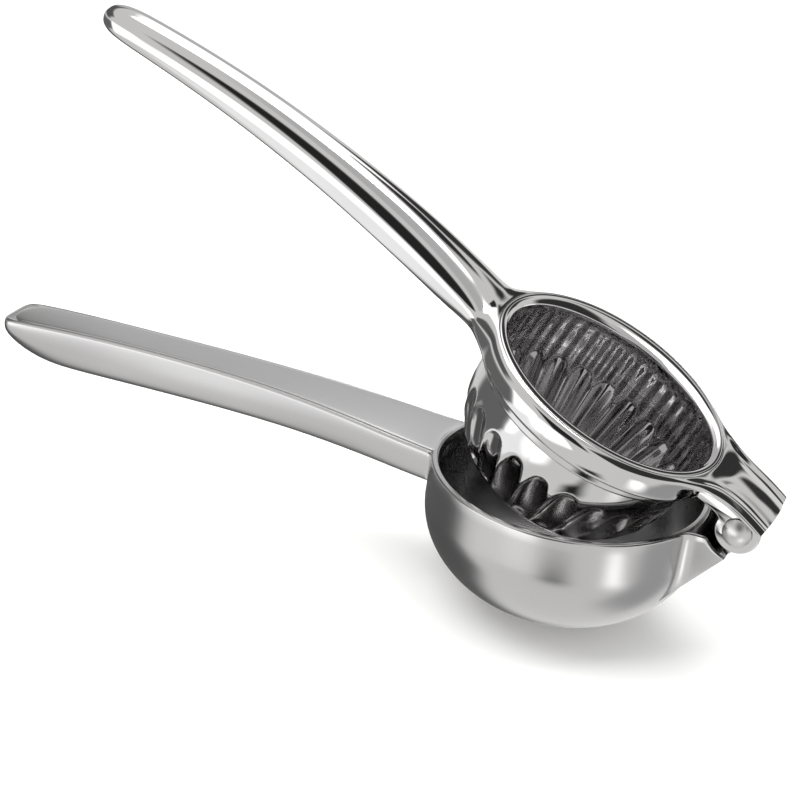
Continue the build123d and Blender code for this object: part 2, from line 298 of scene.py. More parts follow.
# cover sections from the ring outward: x at the sides, x at the middle, half width, top at the middle
# and how much of its crown the section has
coverSections = (
    (32.3, 38.6, 19.2, 0.55, 0.75), (35.6, 40.2, 16.5, 0.85, 0.85), (39.2, 42.4, 14.7, 0.95, 0.95),
    (43.3, 45.3, 13.7, 0.75, 1.0), (48.0, 49.4, 13.6, 0.25, 1.0), (52.4, 53.4, 13.6, -0.6, 1.0),
    (54.7, 55.4, 13.6, -1.1, 1.0), (55.2, 55.9, 13.5, -1.25, 1.0),
)
# cover's crown from the middle to one side: share of the half width, drop, underside's drop
coverCrown = (
    (0.0, 0.0, 1.5), (0.2, 0.1, 1.5), (0.38, 0.46, 1.8), (0.53, 0.92, 2.1), (0.66, 0.9, 2.1),
    (0.78, 0.42, 2.1), (0.88, 0.45, 2.2), (0.95, 0.95, 2.4), (0.99, 1.5, 2.5),
)
# ring's outline from under the cup's flange round the outside and up the inside: radius, height
ringOutline = (
    (35.7, -0.16), (36.5, -0.62), (37.1, -1.4), (37.4, -2.7), (37.4, -5.2), (37.25, -7.0), (36.6, -7.7),
    (35.0, -7.8), (34.25, -8.1), (34.1, -9.3), (34.05, -10.8), (33.6, -11.1), (33.0, -10.9),
    (32.85, -8.0), (32.85, -1.8), (33.6, -0.95), (35.18, -0.75), (35.2, -0.2), (35.3, -0.07),
)


def armPoint(x, y, height):
    return (x, y, ringTop + height)


def handleLoop(section):
    # closed outline of the handle: over the crown, down one side, along the underside, up the other
    distance, halfWidth, top, bottom = section
    waistHeight = mix(bottom, top, armSizes["waist"])
    foot = math.radians(armSizes["footAngle"])
    belly = (waistHeight - bottom) / math.sin(foot)
    span = armSizes["neckSpan"] * 2 // armSizes["stepDegrees"]
    shoulder = armSizes["shoulderAngle"]

    def onArch(degrees):
        a = math.radians(degrees)
        height = top - waistHeight if math.sin(a) >= 0 else belly
        return halfWidth * math.cos(a), waistHeight + height * math.sin(a)

    crown = [onArch(mix(shoulder, 180 - shoulder, k / span)) for k in range(span + 1)]
    down = [onArch(a) for a in armSizes["sideAngles"]]
    up = [(-y, height) for y, height in reversed(down)]
    edge = halfWidth * math.cos(foot)
    recess = armSizes["plateRecess"] * smoothStep(distance, *armSizes["plateFade"])
    recess *= 1 - smoothStep(distance, *armSizes["plateEnd"])
    under = []
    for k in range(span + 1):
        across = mix(-1, 1, k / span)
        fromSide = min(k, span - k)
        if fromSide > 1:
            under.append((across * edge, bottom + recess))
        else:
            under.append((math.copysign(edge - fromSide * armSizes["seamWidth"], across), bottom))
    return [armPoint(-distance, y, height) for y, height in crown + down + under + up]


def coverLoop(section):
    sideX, middleX, halfWidth, top, crown = section
    half = len(coverCrown) - 1
    upper, lower = [], []
    for k in range(-half, half + 1):
        share, drop, under = coverCrown[abs(k)]
        x = mix(middleX, sideX, share * share)
        y = math.copysign(share * halfWidth, k)
        upper.append(armPoint(x, y, top - drop * crown))
        lower.append(armPoint(x, y, top - mix(armSizes["coverSheet"], under, crown)))
    edges = zip(armSizes["flatEdge"], armSizes["coverEdge"])
    side = [armPoint(sideX, halfWidth, top - mix(flat, crowned, crown)) for flat, crowned in edges]
    otherSide = [(x, -y, z) for x, y, z in reversed(side)]
    return upper + side + lower[::-1] + otherSide


def armCrease(a, b):
    # the neck rises out of the ring along a crease, and the cover is cut off square
    edgeRadius = ringOutline[0][0]
    lowest = ringTop - armCreases["underTop"]
    lastX = coverSections[-1][0] - armCreases["endSlack"]
    atNeck = all(
        abs(math.hypot(v.x, v.y) - edgeRadius) < armCreases["nearEdge"]
        and v.z > lowest and v.x < armCreases["neckFrom"]
        for v in (a, b)
    )
    atEnd = a.x > lastX and b.x > lastX
    return armCreases["strength"] if atNeck or atEnd else 0.0


def armSkin():
    step = armSizes["stepDegrees"]
    neckSpan, coverSpan = armSizes["neckSpan"], armSizes["coverSpan"]
    neckRows, coverRows = armSizes["neckRows"], armSizes["coverRows"]
    turns = range(0, 360, step)
    rows, columns = len(ringOutline), len(turns)

    def ringPoint(row, turn):
        radius, height = ringOutline[row]
        return polar(radius, turn, ringTop + height)

    points = [ringPoint(row, turn) for row in range(rows) for turn in turns]
    faces = []
    for row in range(rows):
        for column in range(columns):
            angle = turns[column] + step / 2
            inNeck = abs(angle - 180) < neckSpan and row < neckRows
            inCover = min(angle, 360 - angle) < coverSpan and row < coverRows
            if inNeck or inCover:
                continue
            nextRow, nextColumn = (row + 1) % rows, (column + 1) % columns
            faces.append((
                row * columns + column, row * columns + nextColumn,
                nextRow * columns + nextColumn, nextRow * columns + column,
            ))

    def ringLoop(centre, half, lastRow):
        # edge of the opening left in the ring, in the same order as the loops that start from it
        over = [ringPoint(0, centre + turn) for turn in range(-half, half + 1, step)]
        down = [ringPoint(row, centre + half) for row in range(1, lastRow)]
        under = [ringPoint(lastRow, centre - turn) for turn in range(-half, half + 1, step)]
        up = [ringPoint(row, centre - half) for row in range(lastRow - 1, 0, -1)]
        return over + down + under + up

    for centre, half, lastRow, loopOf, sections in (
        (180, neckSpan, neckRows, handleLoop, handleSections),
        (0, coverSpan, coverRows, coverLoop, coverSections),
    ):
        loops = [ringLoop(centre, half, lastRow)] + [loopOf(section) for section in sections]
        acrossCount = 2 * half // step + 1
        first = len(points)
        count = len(loops[0])
        for loop in loops:
            points += loop
        faces += gridFaces(len(loops), count, True, first)
        # the last loop is closed across its width, and along each side by one more face
        last = first + (len(loops) - 1) * count
        sideCount = (count - 2 * acrossCount) // 2
        for k in range(acrossCount - 1):
            other = 2 * acrossCount + sideCount - 1 - k
            faces.append((last + k, last + k + 1, last + other - 1, last + other))
        edgeA = [acrossCount - 1 + k for k in range(sideCount + 2)]
        edgeB = [(2 * acrossCount + sideCount - 1 + k) % count for k in range(sideCount + 2)]
        faces.append(tuple(last + k for k in edgeA))
        faces.append(tuple(last + k for k in edgeB))
    return points, faces


points, faces = armSkin()
arm = makePiece("armPressing", points, faces, "upper_arm", 2, armCrease)
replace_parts(arm, "press_ring", "hinge_cover", "upper_handle_shell")
print("upper arm pressing built")


# half of the section of the plate under the handle, from its upper edge down and in to the middle:
# share of its half width, share of its sheet
plateProfile = ((1.0, 0.75), (1.0, 0.3), (0.96, 0.06), (0.8, 0.0), (0.4, 0.0), (0.0, 0.0))


def handlePlate():
    # flat strip that closes the underside of the upper handle, let into the pressing
    nearest, farthest = armSizes["plateSpan"]
    section = [(-across, up) for across, up in plateProfile]
    section += [(across, up) for across, up in reversed(plateProfile[:-1])]
    section.append((0.0, plateProfile[0][1]))
    loops = []
    for distance, halfWidth, _, bottom in handleSections:
        if nearest < distance < farthest:
            edge = halfWidth * math.cos(math.radians(armSizes["footAngle"])) - 2 * armSizes["seamWidth"]
            loops.append([
                armPoint(-distance, across * edge, bottom + up * armSizes["plateSheet"])
                for across, up in section
            ])
    return closedLoft(loops)


points, faces = handlePlate()
armPlate = makePiece("upperHandlePlate", points, faces, "upper_arm", 2)
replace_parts(armPlate, "upper_handle_plate")


# the press cup is one thin sheet, fluted below and turned out at the top into a flat flange
cupSizes = dict(
    openingX=32.4, openingY=29.4, crest=34.5, dropLeast=0.5, dropShare=0.15, crownSteps=8, crownPower=2.2,
    lipGrow=0.5, outerRadius=32.7, wall=1.2, depth=30.4, bendDepth=3.0, sidePower=3.2, floorPower=2.3,
    profileSteps=120, rowSpacing=0.7, flutes=24, perFlute=14, fluteFirst=3.0, fluteRadius=4.4,
    fluteTop=(35.35, 10.6), fluteBottom=(28.9, 24.2), ridgeSoftness=0.12, softReach=4.0, deepestCut=4.8,
    ripples=48, rippleDepth=0.25, rippleFade=(4.0, 8.5),
)
# up the outside of the wall, under the flange and round its edge: radius, height from the ring's top
flangeOutline = (
    (32.7, -6.0), (32.7, -2.2), (33.0, -0.95), (34.0, -0.7), (34.92, -0.6), (35.12, -0.45), (35.12, -0.25),
    (35.05, -0.1), (34.87, -0.03),
)
# round the edge of the oval opening: how much wider than the opening, height from that edge
openingLip = ((0.25, -0.14), (0.08, -0.34), (0.0, -0.6), (0.0, -0.9))
# from the oval opening out to the round wall below it: share of the way, height from the ring's top
throat = (
    (0.12, -2.5), (0.4, -3.2), (0.75, -4.2), (0.95, -5.2), (1.0, -6.4), (1.0, -7.6), (1.0, -8.8),
    (1.0, -10.0),
)


def openingRadius(degrees, grow=0.0):
    a = math.radians(degrees)
    x, y = cupSizes["openingX"] + grow, cupSizes["openingY"] + grow
    return x * y / math.hypot(y * math.cos(a), x * math.sin(a))


def cupProfile(inset):
    # meridian of the cup from its straight wall to the middle of its floor: radius, height from the rim
    radius = cupSizes["outerRadius"] - inset
    drop = cupSizes["depth"] - cupSizes["bendDepth"] - inset
    steps = cupSizes["profileSteps"]
    line = []
    for k in range(steps + 1):
        a = math.pi / 2 * (k / steps)
        r = radius * max(math.cos(a), 0) ** (2 / cupSizes["sidePower"])
        z = -cupSizes["bendDepth"] - drop * math.sin(a) ** (2 / cupSizes["floorPower"])
        line.append((r, z))
    # without the middle itself, which addCentre adds
    return evenLine(line, cupSizes["rowSpacing"])[:-1]


def evenLine(line, spacing):
    # the same line with its points evenly spaced
    lengths = [0.0]
    for a, b in zip(line, line[1:]):
        lengths.append(lengths[-1] + math.dist(a, b))
    count = max(2, round(lengths[-1] / spacing))
    result, j = [], 0
    for k in range(count + 1):
        target = lengths[-1] * k / count
        while j < len(lengths) - 2 and lengths[j + 1] < target:
            j += 1
        share = (target - lengths[j]) / (lengths[j + 1] - lengths[j])
        result.append((mix(line[j][0], line[j + 1][0], share), mix(line[j][1], line[j + 1][1], share)))
    return result


def fluteDepth(radius, z, degrees, fluteRadius):
    # how far a round-ended groove cuts into the wall there
    (topR, topZ), (lowR, lowZ) = cupSizes["fluteTop"], cupSizes["fluteBottom"]
    pitch = 360 / cupSizes["flutes"]
    turn = math.radians((degrees - cupSizes["fluteFirst"] + pitch / 2) % pitch - pitch / 2)
    x, y = radius * math.cos(turn), radius * math.sin(turn)
    axis = Vector((lowR - topR, 0, topZ - lowZ))
    start = Vector((topR, 0, -topZ))
    length = axis.length
    axis.normalize()
    toward = Vector((x, y, z)) - start
    along = min(max(toward.dot(axis), 0), length)
    # the wall moves inward along its own radius until it is outside the groove
    centre = start + axis * along
    out = Vector((math.cos(turn), math.sin(turn), 0))
    gap = Vector((x, y, z)) - centre
    b = gap.dot(out)
    c = gap.length_squared - fluteRadius ** 2
    inside = b * b - c
    soft = cupSizes["ridgeSoftness"]
    if inside > 0:
        depth = b + math.sqrt(inside)
    else:
        depth = -soft * cupSizes["softReach"] - math.sqrt(-inside)
    # a soft bend between no cut and the full cut, which rounds the ridges
    return soft * math.log1p(math.exp(min(depth, cupSizes["deepestCut"]) / soft))


def ripple(degrees, z):
    # faint pleats that the drawing of the flutes leaves in the wall above them
    fade = 1 - smoothStep(z, *cupSizes["rippleFade"])
    return cupSizes["rippleDepth"] * fade * math.cos(math.radians(degrees * cupSizes["ripples"]))


def cupSheet():
    columns = cupSizes["flutes"] * cupSizes["perFlute"]
    turns = [360 * k / columns for k in range(columns)]
    wall, fluteRadius = cupSizes["wall"], cupSizes["fluteRadius"]
    top = armSizes["ringRise"]
    # outside, from the floor up to the flange
    loops = [
        [(radius - fluteDepth(radius, z, t, fluteRadius), t, z) for t in turns]
        for radius, z in reversed(cupProfile(0))
    ]
    loops += [[(radius, t, top + height) for t in turns] for radius, height in flangeOutline]
    # crown that falls away to the edge of the opening
    crest, crownSteps = cupSizes["crest"], cupSizes["crownSteps"]
    drops = [cupSizes["dropLeast"] + cupSizes["dropShare"] * (crest - openingRadius(t)) for t in turns]
    for k in range(crownSteps + 1):
        share = k / crownSteps
        fall = share ** cupSizes["crownPower"]
        loops.append([
            (mix(crest, openingRadius(t, cupSizes["lipGrow"]), share), t, top - drop * fall)
            for t, drop in zip(turns, drops)
        ])
    for grow, height in openingLip:
        loops.append([(openingRadius(t, grow), t, top - drop + height) for t, drop in zip(turns, drops)])
    straight = cupSizes["outerRadius"] - wall
    for share, height in throat:
        z = top + height
        loops.append([(mix(openingRadius(t), straight, share) + ripple(t, z), t, z) for t in turns])
    lipRow = len(loops)
    for radius, z in cupProfile(wall):
        loops.append([
            (radius + ripple(t, z) - fluteDepth(radius, z, t, fluteRadius + wall), t, z) for t in turns
        ])
    points = [polar(radius, t, rimZ + z) for loop in loops for radius, t, z in loop]
    faces = gridFaces(len(loops), columns)
    depth = cupSizes["depth"]
    addCentre(points, faces, 0, columns, (0, 0, rimZ - depth))
    firstFloor = len(faces)
    addCentre(points, faces, (len(loops) - 1) * columns, columns, (0, 0, rimZ + wall - depth))
    return points, faces, range(lipRow * columns, firstFloor - columns), range(firstFloor, len(faces))


points, faces, innerWall, innerFloor = cupSheet()
cup = makePiece("pressCup", points, faces, "upper_arm")
# the inside faces get the darker steel, which paints shade into the cup's hollow
cup.data.materials.append(steels["insideStainlessPaintedShade"])
for polygon in cup.data.polygons:
    if polygon.index in innerWall or polygon.index in innerFloor:
        polygon.material_index = 1
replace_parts(cup, "press_cup")
print("press cup built")


# the bowl is turned sheet with a thickened lip, and two rings of drain holes round its foot
bowlSizes = dict(
    side=11.2, base=10.0, wall=1.6, lip=2.2, lipHeight=3.4, lipTaper=1.2, rimRound=0.8, rimSteps=6,
    floorRows=(4.0, 8.5), curveSamples=400, curveSteps=40, sideSteps=4, columns=144, sharpAngle=40,
    holeRadius=1.5, holeRings=((6.0, 6), (12.0, 12)), holeSides=32, drillFrom=-3.0, drillTo=6.0,
)
# the holes lie midway between two columns of the bowl's mesh, which keeps slivers out of it
holeTurn = 180 / bowlSizes["columns"]
bowlShoulder = rimZ - bowlSizes["side"]


def bowlOutside(z, inset=0.0):
    # radius of the bowl's side at a height, or of the same shape inset from it
    radius = bowlRadius - inset
    curve = bowlShoulder / math.sqrt(1 - (bowlSizes["base"] / bowlRadius) ** 2) - inset
    below = max(0, bowlShoulder - z)
    return radius * math.sqrt(1 - (below / curve) ** 2)


def bowlCurve(inset):
    # from the edge of the flat floor up to the shoulder, evenly spaced
    samples = bowlSizes["curveSamples"]
    heights = [mix(inset, bowlShoulder, (k / samples) ** 2) for k in range(samples + 1)]
    line = [(bowlOutside(z, inset), z) for z in heights]
    return evenLine(line, bowlShoulder / bowlSizes["curveSteps"])


def bowlMesh():
    # half section: out along the underside, up the side, over the lip, down the inside and in again
    edge, wall, rimSteps = bowlSizes["rimRound"], bowlSizes["wall"], bowlSizes["rimSteps"]
    lipInner = bowlRadius - bowlSizes["lip"]
    lipLow = rimZ - bowlSizes["lipHeight"]
    sideSteps = bowlSizes["sideSteps"]
    outline = [(r, 0.0) for r in bowlSizes["floorRows"]] + bowlCurve(0.0)
    outline += [(bowlRadius, mix(bowlShoulder, rimZ - edge, k / sideSteps)) for k in range(1, sideSteps)]
    outline += arcPoints((bowlRadius - edge, rimZ - edge), edge, 0, 90, rimSteps)
    outline += arcPoints((lipInner + edge, rimZ - edge), edge, 90, 180, rimSteps)
    outline += [(lipInner, lipLow), (bowlRadius - wall, lipLow - bowlSizes["lipTaper"])]
    outline += bowlCurve(wall)[::-1] + [(r, wall) for r in reversed(bowlSizes["floorRows"])]
    columns = bowlSizes["columns"]
    points = [polar(r, 360 * k / columns, z) for r, z in outline for k in range(columns)]
    faces = gridFaces(len(outline), columns)
    addCentre(points, faces, 0, columns, (0, 0, 0))
    addCentre(points, faces, (len(outline) - 1) * columns, columns, (0, 0, wall))
    return points, faces


def holeCutter():
    # many-sided rods through the floor, turned half a side so that no corner meets the bowl's columns
    points, faces = [], []
    sides = bowlSizes["holeSides"]
    for ringRadius, count in bowlSizes["holeRings"]:
        for k in range(count):
            x, y, _ = polar(ringRadius, 360 * k / count + holeTurn, 0)
            first = len(points)
            around = circlePoints((x, y), bowlSizes["holeRadius"], sides, 180 / sides)
            for z in (bowlSizes["drillFrom"], bowlSizes["drillTo"]):
                points += [(a, b, z) for a, b in around]
            faces += gridFaces(2, sides, True, first)
            faces.append(tuple(range(first, first + sides)))
            faces.append(tuple(range(first + sides, first + 2 * sides)))
    mesh = bpy.data.meshes.new("holeCutter")
    mesh.from_pydata([Vector(point) * mm for point in points], [], faces)
    work = bmesh.new()
    work.from_mesh(mesh)
    bmesh.ops.recalc_face_normals(work, faces=work.faces)
    work.to_mesh(mesh)
    work.free()
    return addObject("holeCutter", mesh)


def buildBowl():
    points, faces = bowlMesh()
    bowl = makePiece("bowlShell", points, faces, "lower_arm")
    cutter = holeCutter()
    drill = bowl.modifiers.new("drain", "BOOLEAN")
    drill.operation = "DIFFERENCE"
    drill.solver = "EXACT"
    drill.object = cutter
    drilled = evaluatedMesh(bowl)
    bowl.modifiers.remove(drill)
    bowl.data = drilled
    bpy.data.objects.remove(cutter)
    work = bmesh.new()
    work.from_mesh(drilled)
    bmesh.ops.remove_doubles(work, verts=work.verts, dist=sliverWidth * mm)
    bmesh.ops.dissolve_degenerate(work, edges=work.edges, dist=sliverWidth * mm)
    work.to_mesh(drilled)
    work.free()
    drilled.set_sharp_from_angle(angle=math.radians(bowlSizes["sharpAngle"]))
    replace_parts(bowl, "bowl")


buildBowl()
print("bowl built")


# the lower handle is a deep trough with a flat plate let into its top
lowerSizes = dict(
    fullness=2.5, rimRound=1.1, rimWidth=1.5, rimDrop=0.04, floorInset=1.4, narrowShare=0.3, floorSteps=6,
    grooveWidth=0.2, recess=0.75, bellySteps=14, plateGap=0.12, plateCrown=0.12, plateDepth=0.6,
    plateEnd=(171, 176.5), tipLength=5.9, tipLeast=0.05,
)
# over the rounded rim: distance in from the side, distance down from the top
rimCurve = ((0.02, 1.1), (0.2, 0.44), (0.65, 0.06))
# distance from the bowl's axis, half width, top and bottom from the bowl's rim
lowerSections = (
    (44.0, 12.3, 0.3, -12.8), (50.0, 12.0, 0.7, -12.4), (55.9, 11.6, 1.1, -12.0), (71.6, 10.1, 1.9, -11.4),
    (89.5, 8.8, 2.2, -11.5), (111.2, 8.1, 1.9, -12.4), (134.1, 7.8, 0.9, -13.8), (150.9, 8.1, -0.1, -14.8),
    (160.8, 8.4, -0.9, -15.1), (167.7, 8.5, -1.5, -14.0), (172.7, 8.5, -2.0, -11.9),
    (175.6, 8.3, -2.3, -9.8), (177.1, 7.4, -2.55, -8.2), (177.9, 5.6, -2.8, -7.0),
    (178.35, 3.4, -3.1, -6.3),
)
lowerRoot = (13.0, 0.0, -13.0)
# the plate stops before the trough does: distance, half width, top
plateTail = ((175.6, 8.3, -2.45), (176.4, 7.7, -2.7))
rootInset, rootSlack = 0.8, 0.02


def rootCrease(a, b):
    # the root stays square where it meets the bowl
    atRoot = all(abs(math.hypot(v.x, v.y) - bowlRadius + rootInset) < rootSlack for v in (a, b))
    return 1.0 if atRoot else 0.0


def lowerX(distance, y):
    # the root follows the middle of the bowl's wall
    return -distance if distance else -math.sqrt((bowlRadius - rootInset) ** 2 - y * y)


def lowerLoop(distance, halfWidth, top, bottom):
    # closed outline of the trough: over one rim, across its floor, over the other, round the belly
    corner, narrow = lowerSizes["rimRound"], lowerSizes["narrowShare"] * halfWidth
    rim = min(lowerSizes["rimWidth"], narrow)
    rimTop = top - lowerSizes["rimDrop"]
    floorTop = rimTop - lowerSizes["recess"] * (1 - smoothStep(distance, *lowerSizes["plateEnd"]))
    side = [(halfWidth - inward, top - down) for inward, down in rimCurve]
    side += [(halfWidth - rim, rimTop), (halfWidth - rim - lowerSizes["grooveWidth"], floorTop)]
    floor = halfWidth - rim - min(lowerSizes["floorInset"], narrow)
    floorSteps = lowerSizes["floorSteps"]
    inside = [(mix(floor, -floor, k / floorSteps), floorTop) for k in range(floorSteps + 1)]
    belly = []
    steps = lowerSizes["bellySteps"]
    for k in range(1, steps):
        a = math.pi * k / steps
        y = -halfWidth * math.copysign(abs(math.cos(a)) ** (2 / lowerSizes["fullness"]), math.cos(a))
        depth = (top - corner - bottom) * math.sin(a) ** (2 / lowerSizes["fullness"])
        belly.append((y, top - corner - depth))
    loop = side + inside + [(-y, z) for y, z in reversed(side)] + belly
    return [(lowerX(distance, y), y, rimZ + z) for y, z in loop]


def lowerPlateLoop(distance, halfWidth, top):
    # closed outline of the plate: up one edge, over the crown, down the other edge, along the underside
    half = halfWidth - lowerSizes["rimWidth"] - lowerSizes["grooveWidth"] - lowerSizes["plateGap"]
    pastEnd = distance - lowerSizes["plateEnd"][0]
    if pastEnd > 0:
        half *= math.sqrt(max(lowerSizes["tipLeast"], 1 - (pastEnd / lowerSizes["tipLength"]) ** 2))
    crown, depth = lowerSizes["plateCrown"], lowerSizes["plateDepth"]
    profile = [
        (1.0, -depth), (1.0, -0.25), (0.985, -0.06), (0.94, 0.0), (0.7, crown * 0.5), (0.35, crown * 0.9),
        (0, crown),
    ]
    loop = [(share * half, top + z) for share, z in profile]
    loop += [(-share * half, top + z) for share, z in reversed(profile[:-1])]
    loop += [(mix(-half, half, share), top - depth) for share in (0.25, 0.5, 0.75)]
    return [(lowerX(distance, y), y, rimZ + z) for y, z in loop]


troughSections = ((0, *lowerRoot), *lowerSections)
points, faces = closedLoft([lowerLoop(*section) for section in troughSections])
lowerShell = makePiece("lowerHandleTrough", points, faces, "lower_arm", 2, rootCrease)
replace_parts(lowerShell, "lower_handle_shell")
plateSections = [section[:3] for section in troughSections if section[0] < plateTail[0][0]] + [*plateTail]
points, faces = closedLoft([lowerPlateLoop(*section) for section in plateSections])
lowerPlate = makePiece("lowerHandlePlate", points, faces, "lower_arm", 2, rootCrease)
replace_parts(lowerPlate, "lower_handle_plate")
print("lower handle built")


# the hinge: cheeks and web on the bowl, knuckle, and a lug under each side of the cover
hingeSizes = dict(
    lugInner=10.0, lugOuter=12.5, lugRound=6.2, lugEnd=384, lugSteps=30, lugBevel=0.4,
    knuckleRound=4.2, knuckleHalf=9.7, knuckleLap=0.4, bore=2.55, boreSides=48, barrelSteps=32,
    slope=50.4, webSheet=1.8, webFrom=-26.5, webTo=-7.84, webLap=0.2, webBevel=0.3,
    cheekSheet=1.3, cheekRound=8.9, cheekDrop=0.2, cheekRows=9, cheekBevel=0.35, bevelSegments=3,
    flareTurn=22.6, flareReach=40.0, flareBend=1.0, flareSteps=6, flatSteps=8, wallLap=0.15,
    settlePasses=3, sharpAngle=50,
)


def makeCutPlate(name, outlines, yFrom, yTo, bevel, body):
    # flat piece cut to outlines of (x, z), with rounded edges, between two values of y
    flat = bpy.data.curves.new(name, "CURVE")
    flat.dimensions = "2D"
    flat.fill_mode = "BOTH"
    flat.extrude = (yTo - yFrom) / 2 - bevel
    flat.bevel_depth = bevel
    flat.offset = -bevel
    flat.bevel_resolution = 2
    for outline in outlines:
        spline = flat.splines.new("POLY")
        spline.points.add(len(outline) - 1)
        for point, (x, z) in zip(spline.points, outline):
            point.co = (x, z, 0, 1)
        spline.use_cyclic_u = True
    source = addObject(name, flat)
    mesh = evaluatedMesh(source)
    bpy.data.objects.remove(source)
    stand = Matrix.Translation((0, (yFrom + yTo) / 2, 0)) @ Matrix.Rotation(math.pi / 2, 4, "X")
    points = [stand @ vertex.co for vertex in mesh.vertices]
    faces = [tuple(polygon.vertices) for polygon in mesh.polygons]
    return makePiece(name, points, faces, body, sharpAngle=hingeSizes["sharpAngle"])


def pinBore():
    return circlePoints((pinX, pinZ), hingeSizes["bore"], hingeSizes["boreSides"])


def webPoint(along, outward):
    # point beside the sloping web: distance along it from the pin, distance out from the pin
    slope = math.radians(hingeSizes["slope"])
    return (
        pinX + outward * math.sin(slope) + along * math.cos(slope),
        pinZ - outward * math.cos(slope) + along * math.sin(slope),
    )


def cheekGrid(side):
    # cheek that leaves the bowl's wall in a fillet and ends in the round cut for the lug
    reach, outer, cut = hingeSizes["flareReach"], hingeSizes["lugOuter"], hingeSizes["cheekRound"]
    topZ = rimZ - hingeSizes["cheekDrop"]
    tipX, tipZ = webPoint(hingeSizes["webTo"], hingeSizes["knuckleRound"])
    slope = math.tan(math.radians(hingeSizes["slope"]))
    turn = math.radians(hingeSizes["flareTurn"])
    rows, flareSteps, flatSteps = [hingeSizes[key] for key in ("cheekRows", "flareSteps", "flatSteps")]

    def onFlare(share, z):
        # along the bend from the bowl's wall at that height to the flat of the cheek
        radius = bowlOutside(z) - hingeSizes["wallLap"]
        start = Vector((radius * math.cos(turn), radius * math.sin(turn)))
        bend = Vector((start.x + hingeSizes["flareBend"], outer))
        end = Vector((reach, outer))
        return start * (1 - share) ** 2 + bend * 2 * share * (1 - share) + end * share ** 2

    def heightAt(x, row):
        # between the web's slope and the cut, which meet in one point at the tip
        low = tipZ - (tipX - x) * slope
        high = topZ
        if abs(x - pinX) < cut:
            high = max(low, min(topZ, pinZ - math.sqrt(cut ** 2 - (x - pinX) ** 2)))
        return mix(low, high, row / (rows - 1))

    points = []
    for k in range(flareSteps + 1):
        for row in range(rows):
            # the bowl narrows downward, so place and height are settled together in a few passes
            z = topZ
            for _ in range(hingeSizes["settlePasses"]):
                x, y = onFlare(k / flareSteps, z)
                z = heightAt(x, row)
            points.append((x, side * y, z))
    for k in range(1, flatSteps + 1):
        x = mix(reach, tipX, k / flatSteps)
        points += [(x, side * outer, heightAt(x, row)) for row in range(rows)]
    return points, gridFaces(flareSteps + 1 + flatSteps, rows, False)


def buildBracket():
    for name, side in (("cheekNear", -1), ("cheekFar", 1)):
        points, faces = cheekGrid(side)
        cheek = makePiece(name, points, faces, "lower_arm")
        thick = cheek.modifiers.new("sheet", "SOLIDIFY")
        thick.thickness = hingeSizes["cheekSheet"] * mm
        # the far cheek's faces look inward before the sheet is thickened
        outwardY = sum(polygon.normal.y for polygon in cheek.data.polygons)
        thick.offset = -1 if outwardY * side > 0 else 1
        edge = cheek.modifiers.new("edges", "BEVEL")
        edge.width = hingeSizes["cheekBevel"] * mm
        edge.segments = hingeSizes["bevelSegments"]
        edge.limit_method = "ANGLE"
        edge.angle_limit = math.radians(hingeSizes["sharpAngle"])
        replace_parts(cheek, "hinge_bracket")
    start, stop = hingeSizes["webFrom"], hingeSizes["webTo"]
    outer, bevel = hingeSizes["knuckleRound"], hingeSizes["webBevel"]
    inner = outer - hingeSizes["webSheet"]
    outline = [webPoint(start, inner), webPoint(start, outer), webPoint(stop, outer), webPoint(stop, inner)]
    half = hingeSizes["lugOuter"] - hingeSizes["cheekSheet"] + hingeSizes["webLap"]
    web = makeCutPlate("channelWeb", [outline], -half, half, bevel, "lower_arm")
    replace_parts(web, "hinge_bracket")

    # the barrel leaves the web's outer face and comes back to its inner face
    entry = -math.sqrt(outer ** 2 - inner ** 2)
    first = -90 + hingeSizes["slope"]
    last = 360 + hingeSizes["slope"] - math.degrees(math.acos(entry / outer))
    barrel = arcPoints((pinX, pinZ), outer, first, last, hingeSizes["barrelSteps"])
    foot = stop + hingeSizes["knuckleLap"]
    outline = [webPoint(foot, outer), *barrel, webPoint(foot, inner)]
    half = hingeSizes["knuckleHalf"]
    knuckle = makeCutPlate("hingeKnuckle", [outline, pinBore()], -half, half, bevel, "lower_arm")
    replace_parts(knuckle, "hinge_knuckle")


# upper edge of a lug and its heel, from the pin: back under the cover, down, and forward along the foot
lugHeel = (
    (5.0, 3.1), (2.5, 3.8), (-0.5, 4.65), (-4.6, 5.1), (-14.3, 5.4), (-14.3, 0.9), (-9.2, 0.85),
    (-7.4, 0.55),
)


def buildLugs():
    radius, stop, steps = [hingeSizes[key] for key in ("lugRound", "lugEnd", "lugSteps")]
    end = arcPoints((pinX, pinZ), radius, 180, stop, steps)
    heel = [(pinX + x, pinZ + z) for x, z in lugHeel]
    outlines = [end + heel, pinBore()]
    inner, outer, bevel = hingeSizes["lugInner"], hingeSizes["lugOuter"], hingeSizes["lugBevel"]
    for name, node, yFrom, yTo in (
        ("lugNear", "hinge_lug_near", -outer, -inner), ("lugFar", "hinge_lug_far", inner, outer)
    ):
        lug = makeCutPlate(name, outlines, yFrom, yTo, bevel, "upper_arm")
        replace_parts(lug, node)


# rivet: a pin with a formed head on the near side, and a cap of the same shape on its tail
rivetSizes = dict(
    headRadius=4.0, headTop=2.4, headFoot=0.4, edgeRound=0.25, edgeSteps=4, neckRadius=3.3, neckRound=0.05,
    topRadius=0.05, pinRadius=2.5, tailRadius=1.6, tailReach=1.2, tailRound=0.2, boreGap=0.02,
    domeSteps=14, columns=96,
)


